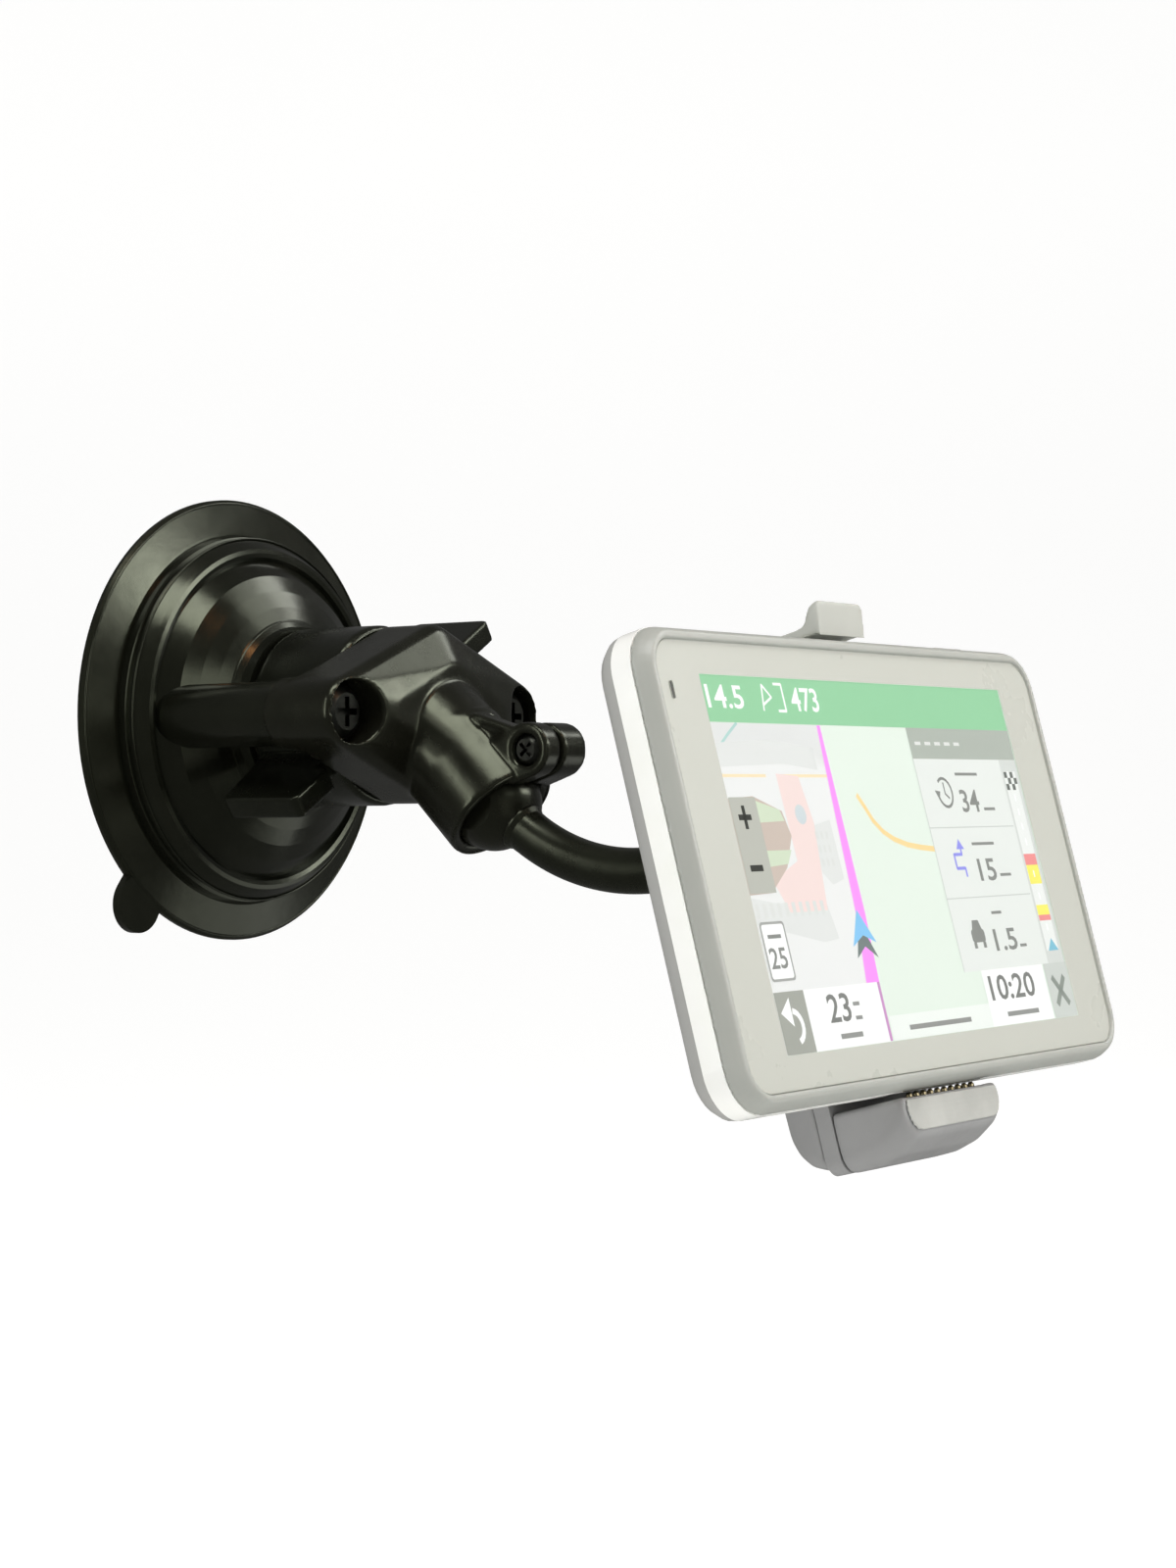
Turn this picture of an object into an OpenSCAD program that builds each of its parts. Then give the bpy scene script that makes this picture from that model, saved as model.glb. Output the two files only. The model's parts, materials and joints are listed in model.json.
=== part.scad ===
// Portable GPS navigator on a twist-lock suction mount with a ball-ended arm.
// The origin is the centre of the suction face. +Y points into the glass, +Z is up,
// and the assembly is symmetric about the plane x = 0 apart from small details.

/* [Suction base] */
// Diameter of the rubber suction cup
cup_d = 83.8; // [80:0.1:90]
// Thickness of the cup at its rim
cup_rim_t = 1.6; // [1.2:0.1:2]
// Thickness of the cup under the housing
cup_mid_t = 3.2; // [3:0.1:3.4]
// Radius of the housing skirt
skirt_r = 34.6; // [33.5:0.1:35.2]
// Height of the housing's rounded crest above the glass
crest_h = 9; // [8.5:0.1:9.5]
// Height of the lever platform above the glass
platform_h = 18.4; // [18:0.1:18.6]
// Distance between the two mounting posts
post_spacing = 48.6; // [48:0.1:49.2]
// Radius of a mounting post
post_r = 5.8; // [5.2:0.1:5.9]
// Height of the post tops above the glass
post_h = 34.5; // [33:0.1:35]

/* [Twist lever] */
// Radius of the lever barrel
barrel_r = 16.6; // [15.5:0.1:16.8]
// Height of the barrel's outer end above the glass
barrel_h = 37.8; // [37:0.1:37.9]
// Reach of each wing from the barrel axis
wing_reach = 33; // [30:0.5:35]
// Thickness of a wing
wing_t = 4.2; // [3.5:0.1:5]
// Direction of the first wing, counted from +X towards +Z
wing_angle = 211; // [205:1:220]

/* [Socket bracket] */
// Half height of the diamond plate at its middle
diamond_half = 16.3; // [15.8:0.1:17]
// Height of the plate's front edge above the glass
plate_h = 49.6; // [49:0.1:51]
// Angle of the ball socket below the cup axis
socket_drop = 45; // [40:1:50]
// Outer radius of the socket tube
tube_r = 10.75; // [10.5:0.05:11.5]
// Length of the tube past the ball's centre
tube_lip = 2.2; // [1.5:0.1:3]
// Distance of the clamp screw from the tube's axis
clamp_off = 14; // [13.8:0.1:15]
// Outer radius of the clamp ears
ear_r = 4.9; // [4.5:0.1:5.2]

/* [Arm] */
// Diameter of both balls
ball_d = 17; // [16.9:0.1:17.1]
// Radius of the moulded flat on each side of a ball
ball_flat_r = 4.5; // [3:0.1:5]
// Diameter of the arm
arm_d = 8.1; // [7:0.1:9]
// Angle of the arm below the horizontal where it leaves the base ball
arm_drop = 34; // [32:1:36]
// Angle of the arm above the horizontal where it meets the device ball
arm_rise = 14; // [12:1:16]
// Radius of the arm's bend
arm_bend_r = 40; // [38:1:42]
// Straight length from the base ball's centre to the bend
arm_in = 9; // [8.8:0.1:10]
// Straight length from the bend to the device ball's centre
arm_out = 13.2; // [12:0.1:15]

/* [Navigator] */
// Backward tilt of the screen
tilt = 14.76; // [0:0.01:25]
// Overall width of the navigator
dev_w = 125.4; // [124.8:0.1:127]
// Overall height of the navigator
dev_h = 75; // [74.6:0.1:77]
// Radius of the navigator's corners
dev_r = 7.5; // [6.5:0.1:8.5]
// Width of the picture area
view_w = 97.1; // [90:0.1:98]
// Height of the picture area
view_h = 59.2; // [55:0.1:60]
// Depth from the picture plane back to the rear cover's flat
back_depth = 14.2; // [14:0.1:14.4]
// Device ball's height above the picture's centre
ball_up = 9.5; // [8.5:0.1:10.5]
// Device ball's distance behind the picture plane
ball_back = 29.1; // [29:0.1:30]

/* [Cradle] */
// Width of the cradle foot
foot_w = 32.4; // [32:0.1:34]
// Depth of the cradle behind the picture plane
cradle_depth = 24.25; // [24:0.05:24.5]
// Width of the release clip's tab
clip_w = 14.8; // [12:0.1:18]
// Number of docking contacts
contact_count = 10; // [4:1:12]
// Distance between neighbouring docking contacts
contact_pitch = 2.3; // [2.2:0.05:2.35]

/* [Hidden] */
$fn = 64;
SOFT = 32;
EPS = 0.05;
FIT = 0.1;
BALL_R = ball_d / 2;
CUP_R = cup_d / 2;
POST_X = post_spacing / 2;
BOSS_R = post_r + 0.6;
SEAT_H = cup_mid_t + EPS;
TUBE_BORE_R = 4.15;
STEM_R = 4.05;
HUB_R = 7;
HUB_H = 26;
WASHER_T = 0.4;
LEVER_H = platform_h + WASHER_T + EPS;
CAM_FLOOR_H = 29;
CAM_SLOPE = 15;
PIN_R = 1.4;
PIN_H = 31.45;
STEM_TOP_H = 35;
DIAMOND_R = 7;
SKIRT_H = barrel_h + 0.4;
HEAD_SEAT_H = 45.9;
BOLT_R = 2.5;
BOLT_HEAD_R = 4.6;
SLOT_W = 1.1;
EAR_FRONT = -5;
EAR_BACK = 7.3;
EAR_ALONG = 0.6;
CLAMP_R = 1.5;
BASE_BALL = [0, -62.5, -16.4];
ARM_TURN = arm_drop + arm_rise;
ARM_END_Y = arm_bend_r * (1 - cos(ARM_TURN)) + arm_out * sin(ARM_TURN);
ARM_END_Z = arm_in + arm_bend_r * sin(ARM_TURN) + arm_out * cos(ARM_TURN);
ARM_A = 90 + arm_drop;
DEVICE_BALL = BASE_BALL + [
    0,
    ARM_END_Y * cos(ARM_A) - ARM_END_Z * sin(ARM_A),
    ARM_END_Y * sin(ARM_A) + ARM_END_Z * cos(ARM_A)
];
UP = [0, sin(tilt), cos(tilt)];
OUT = [0, -cos(tilt), sin(tilt)];
PICTURE = DEVICE_BALL - ball_up * UP + ball_back * OUT;
HALF_W = dev_w / 2;
HALF_H = dev_h / 2;
BEZEL_FRONT = 0.75;
BEZEL_BACK = -2.4;
BAND_BACK = -6;
REAR_STEP = -9.9;
WALL = 1.6;
GLASS_W = dev_w - 5.2;
GLASS_H = dev_h - 5.3;
GLASS_R = dev_r - 2.5;
LCD_W = view_w + 5.9;
LCD_H = view_h + 5.4;
BOSS_X = HALF_W - 7.7;
BOSS_Y = HALF_H - 8.5;
PCB_FRONT = -5.6;
PCB_BACK = -6.6;
CELL_BACK = -12.2;
BUTTON_X = 40;
BUTTON_Z = -4.2;
FOOT_TOP = -HALF_H - 0.9;
FOOT_FRONT = -0.95;
FOOT_SPLIT = -14.5;
PLATE_FRONT = -back_depth - 0.35;
PLATE_BACK = -17.4;
SHIELD_R = 18.5;
CONTACT_Z = -3;
COLLAR_BACK = -28;
CUP_RIM = -ball_back - 2.5;
CUP_OUT_R = 11.4;
CRADLE_SCREWS = [[-11.4, -33], [11.4, -33], [-8.5, 21.2], [8.5, 21.2]];

// ---- frames ----------------------------------------------------------------

// Local z is the height above the glass, local y is up.
module on_cup() {
    rotate([90, 0, 0]) children();
}

// Local z runs out of the socket's mouth, local y points towards the clamp screw.
module on_socket() {
    translate(BASE_BALL) rotate([90 + socket_drop, 0, 0]) children();
}

// Local z follows the arm as it leaves the base ball, local y is the side it bends to.
module on_arm() {
    translate(BASE_BALL) rotate([ARM_A, 0, 0]) children();
}

// Local x and y span the picture, local z points at the driver.
module on_device() {
    translate(PICTURE) rotate([90 - tilt, 0, 0]) children();
}

// Local origin at the device ball's centre, axes as on_device().
module on_device_ball() {
    on_device() translate([0, ball_up, -ball_back]) children();
}

// ---- shared shapes -----------------------------------------------------------

module rounded_rect(w, h, r) {
    union() {
        square([w - 2 * r, h], center = true);
        square([w, h - 2 * r], center = true);
        for (x = [-1, 1], y = [-1, 1])
            translate([x * (w / 2 - r), y * (h / 2 - r)]) circle(r);
    }
}

// Rounded slab between two depths.
module slab(w, h, r, z0, z1) {
    translate([0, 0, z0]) linear_extrude(z1 - z0) rounded_rect(w, h, r);
}

// Straight cylinder between two heights.
module rod(r, z0, z1) {
    translate([0, 0, z0]) cylinder(r = r, h = z1 - z0);
}

// Ring between two radii and two heights.
module ring(r_in, r_out, z0, z1) {
    difference() {
        rod(r_out, z0, z1);
        rod(r_in, z0 - 1, z1 + 1);
    }
}

// Box from its low corner to its high corner.
module block(low, high) {
    translate(low) cube(high - low);
}

// Corner posts of one layer of a rounded shell, for use inside hull().
module layer(w, h, r, z) {
    for (x = [-1, 1], y = [-1, 1])
        translate([x * (w / 2 - r), y * (h / 2 - r), z])
            cylinder(r = r, h = 0.02, $fn = SOFT);
}

// Cross recess for a screwdriver.
module cross_recess(size, depth) {
    for (a = [0, 90])
        rotate([0, 0, a]) translate([-size / 2, -size / 9, -depth]) cube([size, size / 4.5, depth + 1]);
}

// Pan-head screw: the head's seat is at z = 0 and the thread points to -z.
module pan_screw(shank_r, shank_l, head_r, head_h) {
    difference() {
        union() {
            rod(shank_r, -shank_l, 0);
            rod(head_r, 0, head_h * 0.6);
            translate([0, 0, head_h * 0.6])
                cylinder(r1 = head_r, r2 = head_r * 0.72, h = head_h * 0.4);
        }
        translate([0, 0, head_h]) cross_recess(head_r * 1.15, head_h * 0.6);
    }
}

// Ball with a moulded flat on each side.
module flat_ball() {
    flat_x = sqrt(BALL_R * BALL_R - ball_flat_r * ball_flat_r);
    rotate([0, 90, 0]) rotate_extrude() intersection() {
        circle(r = BALL_R);
        translate([0, -flat_x]) square([BALL_R + 1, 2 * flat_x]);
    }
}

// ---- suction base ------------------------------------------------------------

module suction_cup() {
    tab_r = 5.4;
    groove_w = 1.2;
    color([0.16, 0.165, 0.13]) on_cup() difference() {
        union() {
            rotate_extrude() polygon([
                [0, 0], [CUP_R - 0.4, 0], [CUP_R, 0.4], [CUP_R, cup_rim_t - 0.4],
                [CUP_R - 0.5, cup_rim_t], [skirt_r + 1, cup_mid_t - 0.1],
                [skirt_r + 0.6, cup_mid_t], [0, cup_mid_t]
            ]);
            rotate([0, 0, -129]) {
                rod_shift = CUP_R + 2;
                translate([rod_shift, 0, 0.1]) cylinder(r = tab_r, h = 1.6);
                block([CUP_R - 6, -tab_r, 0.1], [rod_shift, tab_r, 1.5]);
            }
        }
        for (r = [36, 39])
            ring(r - groove_w / 2, r + groove_w / 2, -1, 0.5);
    }
}

module cup_stem() {
    color([0.2, 0.2, 0.19]) on_cup() difference() {
        union() {
            rod(18, SEAT_H, SEAT_H + 1.6);
            translate([0, 0, SEAT_H + 1.6]) cylinder(r1 = 9, r2 = STEM_R, h = 2.4);
            rod(STEM_R, SEAT_H + 1, STEM_TOP_H);
        }
        translate([0, 0, PIN_H]) rotate([0, 90, 0]) cylinder(r = PIN_R, h = 30, center = true);
    }
}

module cam_pin() {
    color("silver") on_cup()
        translate([0, 0, PIN_H]) rotate([0, 90, 0]) cylinder(r = PIN_R, h = 22, center = true);
}

module cup_housing() {
    color([0.17, 0.175, 0.14]) on_cup() difference() {
        union() {
            rotate_extrude() polygon([
                [0, SEAT_H], [skirt_r, SEAT_H], [skirt_r, 5], [skirt_r - 0.7, 5.3],
                [skirt_r - 0.7, 5.9], [skirt_r - 0.3, 6.2], [32.8, crest_h - 0.9],
                [32.2, crest_h - 0.2], [31.4, crest_h], [30.6, crest_h - 0.2],
                [30, crest_h - 0.9], [27, 11.1], [24, 12.9], [21, 14.4], [18.6, 15.4],
                [17.2, 16.4], [17, platform_h], [0, platform_h]
            ]);
            rod(HUB_R, platform_h - 1, HUB_H);
            for (x = [-POST_X, POST_X]) translate([x, 0, 0]) rod(post_r, 8, post_h);
        }
        rotate_extrude() polygon([
            [0, 0], [28.5, 0], [28.5, 6.5], [26.5, 8.6], [22, 10.8], [0, 10.8]
        ]);
        rod(TUBE_BORE_R, 0, HUB_H + 1);
        for (x = [-POST_X, POST_X]) translate([x, 0, 0]) rod(BOLT_R, 22, post_h + 1);
    }
}

module lever_washer() {
    color([0.85, 0.84, 0.78]) on_cup() ring(HUB_R + 0.3, 15, platform_h, platform_h + WASHER_T);
}

// One cam ramp: a slanted face that climbs as the lever turns.
module cam_ramp() {
    intersection() {
        rod(9, CAM_FLOOR_H - 1, CAM_FLOOR_H + 5);
        translate([0, 0, CAM_FLOOR_H + 1.7]) rotate([-CAM_SLOPE, 0, 0])
            translate([2, -7.5, -6]) cube([12, 15, 6]);
    }
}

module wing() {
    step = barrel_h - 0.2;
    translate([0, wing_t / 2, 0]) rotate([90, 0, 0]) linear_extrude(wing_t) polygon([
        [barrel_r - 2.5, 21], [wing_reach - 1, 23.2], [wing_reach, 24.2],
        [wing_reach, 40], [wing_reach - 0.8, 40.8], [22.6, 40.8], [21.4, step],
        [barrel_r - 2.5, step]
    ]);
}

module twist_lever() {
    color([0.15, 0.155, 0.125]) on_cup() rotate([0, 0, wing_angle]) difference() {
        union() {
            difference() {
                union() {
                    rod(barrel_r, LEVER_H + 0.6, barrel_h - 0.6);
                    rod(barrel_r - 0.6, LEVER_H, barrel_h);
                    for (a = [0, 180]) rotate([0, 0, a]) wing();
                }
                rod(13.4, CAM_FLOOR_H, barrel_h + 1);
            }
            for (a = [0, 180]) rotate([0, 0, a - 45 - wing_angle]) cam_ramp();
        }
        rod(HUB_R + FIT, LEVER_H - 1, HUB_H + 0.6);
        rod(STEM_R + 0.6, LEVER_H, CAM_FLOOR_H + 8);
    }
}

// ---- socket bracket ----------------------------------------------------------

module diamond_layer(inset, z) {
    for (x = [-POST_X, POST_X])
        translate([x, 0, z]) cylinder(r = BOSS_R + 0.1 - inset, h = 0.02, $fn = SOFT);
    for (y = [-1, 1])
        translate([0, y * (diamond_half - DIAMOND_R), z])
            cylinder(r = DIAMOND_R - inset, h = 0.02, $fn = SOFT);
}

module socket_bracket() {
    crown_h = 4.2;
    web_x = 4.4;
    color([0.3, 0.305, 0.28]) difference() {
        union() {
            on_cup() {
                hull() {
                    diamond_layer(0, SKIRT_H);
                    diamond_layer(0, plate_h - 0.5);
                    diamond_layer(1.1, plate_h + 1);
                    for (x = [-13, 13])
                        translate([x, 0, plate_h + crown_h - 0.6]) cylinder(r = 3, h = 0.1, $fn = SOFT);
                    for (y = [-5, 5])
                        translate([0, y, plate_h + crown_h]) cylinder(r = 4, h = 0.1, $fn = SOFT);
                }
                for (x = [-POST_X, POST_X])
                    translate([x, 0, 0]) rod(BOSS_R, post_h, SKIRT_H + 2);
            }
            hull() {
                on_cup() translate([0, -3, plate_h - 2]) cylinder(r = 11.6, h = 3.4, $fn = SOFT);
                on_socket() translate([0, 0, -9]) cylinder(r = tube_r - 0.05, h = 1, $fn = SOFT);
            }
            on_socket() {
                rod(tube_r, -14, tube_lip);
                hull() {
                    translate([EAR_FRONT, clamp_off, EAR_ALONG]) rotate([0, 90, 0])
                        cylinder(r = ear_r, h = EAR_BACK - EAR_FRONT, $fn = SOFT);
                    block([EAR_FRONT, 5, EAR_ALONG - ear_r - 2], [EAR_BACK, 8, tube_lip - 0.6]);
                }
                difference() {
                    translate([EAR_FRONT, 0, 0]) rotate([90, 0, 90]) linear_extrude(web_x)
                        polygon([[6, -15], [11, -12], [clamp_off + 2, EAR_ALONG - 3], [6, EAR_ALONG]]);
                    translate([EAR_FRONT - 1, 0, 0]) rotate([90, 0, 90]) linear_extrude(1.5)
                        polygon([[9.6, -10.4], [13.4, EAR_ALONG - 5.4], [9.6, EAR_ALONG - 4.4]]);
                }
            }
        }
        on_cup() {
            rod(13, SKIRT_H - 1, SKIRT_H + 5.6);
            for (x = [-POST_X, POST_X]) translate([x, 0, 0]) {
                rod(BOLT_R + 0.15, post_h - 1, HEAD_SEAT_H + 1);
                rod(BOSS_R - 0.8, HEAD_SEAT_H, plate_h + 8);
            }
        }
        on_socket() {
            sphere(r = BALL_R + FIT);
            rod(5.4, -13, 0);
            translate([0, 0, tube_lip - 0.7])
                cylinder(r1 = BALL_R - 0.4, r2 = tube_r - 1.1, h = 1);
            block([-SLOT_W / 2, 2, -12], [SLOT_W / 2, 24, tube_lip + 6]);
            translate([0, clamp_off, EAR_ALONG]) rotate([0, 90, 0]) {
                rod(CLAMP_R + FIT, EAR_FRONT - 1, EAR_BACK + 1);
                rod(2.9, EAR_FRONT - 1, EAR_FRONT + 2);
                translate([0, 0, EAR_BACK - 2.7]) cylinder(r = 3.2, h = 4, $fn = 6);
            }
        }
    }
}

module base_screws() {
    color("silver") on_cup() for (x = [-POST_X, POST_X])
        translate([x, 0, HEAD_SEAT_H + EPS]) pan_screw(BOLT_R, 22, BOLT_HEAD_R, 2.7);
}

module clamp_screw() {
    color("silver") on_socket() translate([EAR_FRONT + 2 - EPS, clamp_off, EAR_ALONG])
        rotate([0, -90, 0]) pan_screw(CLAMP_R, EAR_BACK - EAR_FRONT - 2.4, 2.7, 1.6);
}

module clamp_nut() {
    color("silver") on_socket() translate([EAR_BACK - 2.6, clamp_off, EAR_ALONG])
        rotate([0, 90, 0]) difference() {
            cylinder(r = 3.12, h = 2.4, $fn = 6);
            rod(CLAMP_R + FIT, -1, 4);
        }
}

// ---- arm ----------------------------------------------------------------------

module base_ball() {
    color([0.13, 0.13, 0.11]) on_socket() flat_ball();
}

// Straight end of the arm: hollowed to sit on its ball, with a slight neck.
module arm_end(length) {
    arm_r = arm_d / 2 + 0.03;
    neck_r = arm_r + 0.5;
    seat_r = BALL_R + FIT;
    seat = [for (i = [0 : 4]) [neck_r * i / 4, sqrt(seat_r * seat_r - pow(neck_r * i / 4, 2))]];
    rotate_extrude() polygon(concat(seat, [
        [neck_r, 7.6], [arm_r, 8.5], [arm_r, length + 0.5], [0, length + 0.5]
    ]));
}

module arm() {
    color([0.22, 0.23, 0.19]) on_arm() union() {
        arm_end(arm_in);
        translate([0, arm_bend_r, arm_in]) rotate([0, -90, 0]) rotate([0, 0, -90])
            rotate_extrude(angle = ARM_TURN) translate([arm_bend_r, 0]) circle(r = arm_d / 2);
        translate([0, ARM_END_Y, ARM_END_Z]) rotate([180 - ARM_TURN, 0, 0]) arm_end(arm_out);
    }
}

module device_ball() {
    color([0.13, 0.13, 0.11]) on_device_ball() flat_ball();
}

// ---- cradle -------------------------------------------------------------------

// Snap cup that grips the device ball: four fingers on a flanged ring.
module ball_socket() {
    flange_z = ball_back - cradle_depth + 2;
    color([0.2, 0.2, 0.19]) on_device_ball() difference() {
        union() {
            rod(CUP_OUT_R, CUP_RIM + ball_back, flange_z + 1.4);
            rod(CUP_OUT_R + 1.2, flange_z, flange_z + 1.4);
            rod(6.5, flange_z, 10.6);
        }
        sphere(r = BALL_R + FIT);
        translate([0, 0, CUP_RIM + ball_back - EPS])
            cylinder(r1 = BALL_R + 1.3, r2 = BALL_R - 0.6, h = 1.4);
        for (a = [45, 135]) rotate([0, 0, a])
            block([-20, -0.6, CUP_RIM + ball_back - 1], [20, 0.6, flange_z - 0.6]);
    }
}

// Outline of the cradle's shield: the foot's width running into a round top.
module shield_outline(inset, low) {
    half = foot_w / 2 - inset;
    r = SHIELD_R - inset;
    rise = ball_up - FOOT_TOP;
    touch = acos(r / norm([half, rise])) - atan2(rise, half);
    tangent = [r * cos(touch), ball_up + r * sin(touch)];
    polygon([
        [-half, low + 3], [-half + 3, low], [half - 3, low], [half, low + 3], [half, FOOT_TOP],
        tangent, [-tangent[0], tangent[1]], [-half, FOOT_TOP]
    ]);
    translate([0, ball_up]) circle(r);
    for (x = [-1, 1]) translate([x * (half - 3), low + 3]) circle(3);
}

module shield_slab(inset, low, z0, z1) {
    translate([0, 0, z0]) linear_extrude(z1 - z0) shield_outline(inset, low);
}

module cradle_back() {
    color([0.66, 0.66, 0.65]) on_device() difference() {
        union() {
            hull() {
                shield_slab(0, -47.4, PLATE_BACK - EPS - 0.02, PLATE_BACK - EPS, $fn = SOFT);
                shield_slab(0, -46.1, -20.8, -20.7, $fn = SOFT);
                shield_slab(0.5, -44.6, -22.4, -22.3, $fn = SOFT);
                shield_slab(1.3, -42.9, -23.5, -23.4, $fn = SOFT);
                shield_slab(2.8, -40.6, -cradle_depth, -cradle_depth + 0.1, $fn = SOFT);
            }
            translate([0, ball_up, 0]) rod(14.4, COLLAR_BACK, -cradle_depth + 1);
        }
        shield_slab(WALL + 0.4, -43, -cradle_depth + WALL, PLATE_BACK + 1);
        translate([0, ball_up, 0]) rod(CUP_OUT_R + 0.2, COLLAR_BACK - 1, -20);
        block([-clip_w / 2 - 0.3, 25, PLATE_BACK - 0.8], [clip_w / 2 + 0.3, 30, PLATE_BACK + 1]);
        block([-4.3, -28, -30], [4.3, -23.6, -20]);
        for (p = CRADLE_SCREWS) translate([p[0], p[1], 0]) {
            rod(1.25, -30, -20);
            rod(2.3, -30, -cradle_depth + 0.9);
        }
    }
}

module cradle_plate() {
    color([0.74, 0.74, 0.73]) on_device() difference() {
        union() {
            difference() {
                shield_slab(0, -48.1, PLATE_BACK, PLATE_FRONT);
                shield_slab(WALL, -46.2, PLATE_BACK - 1, PLATE_FRONT - 1.3);
            }
            for (p = CRADLE_SCREWS) translate([p[0], p[1], 0]) rod(1.7, -21.9, PLATE_FRONT - 1);
        }
        for (p = CRADLE_SCREWS) translate([p[0], p[1], 0]) rod(0.9, -23, PLATE_FRONT - 1.6);
        block([-clip_w / 2 - 0.2, 22.9, -18], [clip_w / 2 + 0.2, 32, -14]);
    }
}

// Layer of the foot: a rectangle with rounded lower corners.
module foot_layer(inset, low, r, z) {
    half = foot_w / 2 - inset;
    for (x = [-1, 1]) {
        translate([x * (half - r), low + r, z]) cylinder(r = r, h = 0.02, $fn = SOFT);
        translate([x * (half - 0.5), FOOT_TOP - inset - 0.5, z]) cylinder(r = 0.5, h = 0.02, $fn = SOFT);
    }
}

module cradle_foot() {
    color([0.62, 0.62, 0.61]) on_device() difference() {
        hull() {
            foot_layer(0.6, -44.2, 4, FOOT_FRONT - 0.3);
            foot_layer(0, -45.2, 4.4, FOOT_FRONT - 1.2);
            foot_layer(0, -47.2, 4.2, -5.6);
            foot_layer(0, -48.2, 4, -9.6);
            foot_layer(0, -48.3, 3.4, FOOT_SPLIT);
        }
        hull() {
            foot_layer(WALL, -43.4, 3, FOOT_FRONT - 2.6);
            foot_layer(WALL, -46.4, 3, -9.6);
            foot_layer(WALL, -46.5, 3, FOOT_SPLIT - 0.1);
        }
        block([-13.4, FOOT_TOP - 4.9, CONTACT_Z - 1.5], [13.4, FOOT_TOP + 1, CONTACT_Z + 1.1]);
        block([-foot_w, FOOT_TOP, FOOT_SPLIT - 1], [foot_w, FOOT_TOP + 9, 1]);
    }
}

module foot_badge() {
    color([0.75, 0.755, 0.73]) on_device() difference() {
        hull() {
            foot_layer(0.9, -44.2, 3.7, FOOT_FRONT - 0.24);
            foot_layer(1.2, -43.9, 3.4, FOOT_FRONT);
        }
        block([-foot_w, FOOT_TOP - 0.4, -2], [foot_w, FOOT_TOP + 9, 1]);
    }
}

module cradle_clip() {
    tongue = [-17.1, -15.3];
    low = HALF_H + 0.7;
    tab_top = low + 5.5;
    color([0.77, 0.775, 0.75]) on_device() {
        intersection() {
            translate([-clip_w / 2, 0, 0]) rotate([90, 0, 90]) linear_extrude(clip_w) polygon([
                [low + 0.2, -3.4], [low + 0.2, -1.5], [low - 0.4, -1], [tab_top - 0.3, -0.15],
                [tab_top, -0.4], [tab_top - 0.1, -1.1], [low + 4.7, -2], [low + 3.5, -2.8],
                [low + 2.4, -3.4], [low + 1.9, -4.1], [low + 1.7, -5.3],
                [low + 1.6, tongue[1] - 0.2], [low + 1.1, tongue[0] + 0.4],
                [low - 0.2, tongue[0]], [23, tongue[0]], [23, tongue[1]],
                [low - 1.4, tongue[1]], [low - 0.4, tongue[1] + 0.5], [low + 0.1, tongue[1] + 1.5]
            ]);
            hull() {
                for (x = [-1, 1]) {
                    translate([x * (clip_w / 2 - 1.4), tab_top - 1.4, -18]) cylinder(r = 1.4, h = 20, $fn = SOFT);
                    translate([x * (clip_w / 2 - 1.4), 24.4, -18]) cylinder(r = 1.4, h = 20, $fn = SOFT);
                }
            }
        }
    }
}

module contact_block() {
    color([0.12, 0.12, 0.12]) on_device() difference() {
        block([-13.2, -43, CONTACT_Z - 1.3], [13.2, FOOT_TOP - 0.1, CONTACT_Z + 0.9]);
        for (i = [0 : contact_count - 1]) {
            x = (i - (contact_count - 1) / 2) * contact_pitch;
            block([x - 0.65, -42, CONTACT_Z - 0.65], [x + 0.65, FOOT_TOP + 1, CONTACT_Z + 0.65]);
        }
    }
}

module contact_pins() {
    color("gold") on_device() for (i = [0 : contact_count - 1]) {
        x = (i - (contact_count - 1) / 2) * contact_pitch;
        translate([x, 0, CONTACT_Z]) rotate([-90, 0, 0]) {
            rod(0.55, -41, FOOT_TOP + 0.35);
            translate([0, 0, FOOT_TOP + 0.35]) cylinder(r1 = 0.55, r2 = 0.3, h = 0.35);
        }
    }
}

module cradle_pcb() {
    color([0.1, 0.35, 0.2]) on_device() block([-9.5, -43, -18.9], [9.5, -10.5, -17.9]);
}

module power_socket() {
    color("silver") on_device() difference() {
        block([-3.95, -27.8, -cradle_depth + 0.2], [3.95, -23.8, -18.95]);
        block([-3.55, -27.4, -cradle_depth - 1], [3.55, -24.2, -19.6]);
    }
    color([0.1, 0.1, 0.1]) on_device() block([-2.6, -26.3, -23.4], [2.6, -25.4, -19.4]);
}

module cradle_screws() {
    color("silver") on_device() for (p = CRADLE_SCREWS)
        translate([p[0], p[1], -cradle_depth + 0.85]) rotate([180, 0, 0]) pan_screw(0.9, 6, 2, 0.8);
}

// ---- navigator ------------------------------------------------------------------

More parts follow.
